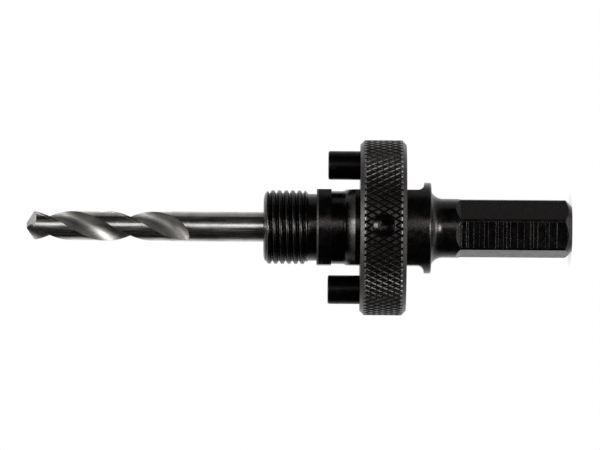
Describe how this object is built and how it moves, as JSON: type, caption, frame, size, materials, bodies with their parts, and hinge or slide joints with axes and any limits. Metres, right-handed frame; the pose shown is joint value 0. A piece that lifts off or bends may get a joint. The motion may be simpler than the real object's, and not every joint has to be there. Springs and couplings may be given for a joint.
{
  "type": "hole saw arbor",
  "caption": "Hex-shank hole saw arbor: threaded nose, bright pilot drill, and a knurled collar that slides forward to engage its drive pins.",
  "frame": {"origin": "centre of the hex shank's flat end face", "axes": "+Z along the arbor's axis towards the drill's tip; +X and -X towards the body's two flats and the drive pins; -Y towards the detent screw"},
  "size_m": [0.0372, 0.0372, 0.1158],
  "materials": {
    "black_oxide": "black oxide steel, satin",
    "drill_steel": "bright ground steel",
    "spring_steel": "plain"
  },
  "bodies": {
    "arbor": {"arbor_body": "black_oxide", "pilot_drill": "drill_steel", "pilot_set_screw": "black_oxide"},
    "collar": {"drive_collar": "black_oxide", "drive_pin_a": "black_oxide", "drive_pin_b": "black_oxide", "detent_spring": "spring_steel", "detent_screw": "black_oxide"},
    "detent_ball": {"detent_ball": "spring_steel"}
  },
  "joints": [
    {"name": "collar_slide", "type": "slide", "parent": "arbor", "child": "collar", "axis": [0, 0, 1], "range_m": [-0.0022, 0.0092]},
    {"name": "detent_ball_travel", "type": "slide", "parent": "collar", "child": "detent_ball", "axis": [0, -1, 0], "range_m": [0, 0.0004], "stiffness_N_per_m": 1500, "deforming": ["detent_spring"]}
  ]
}
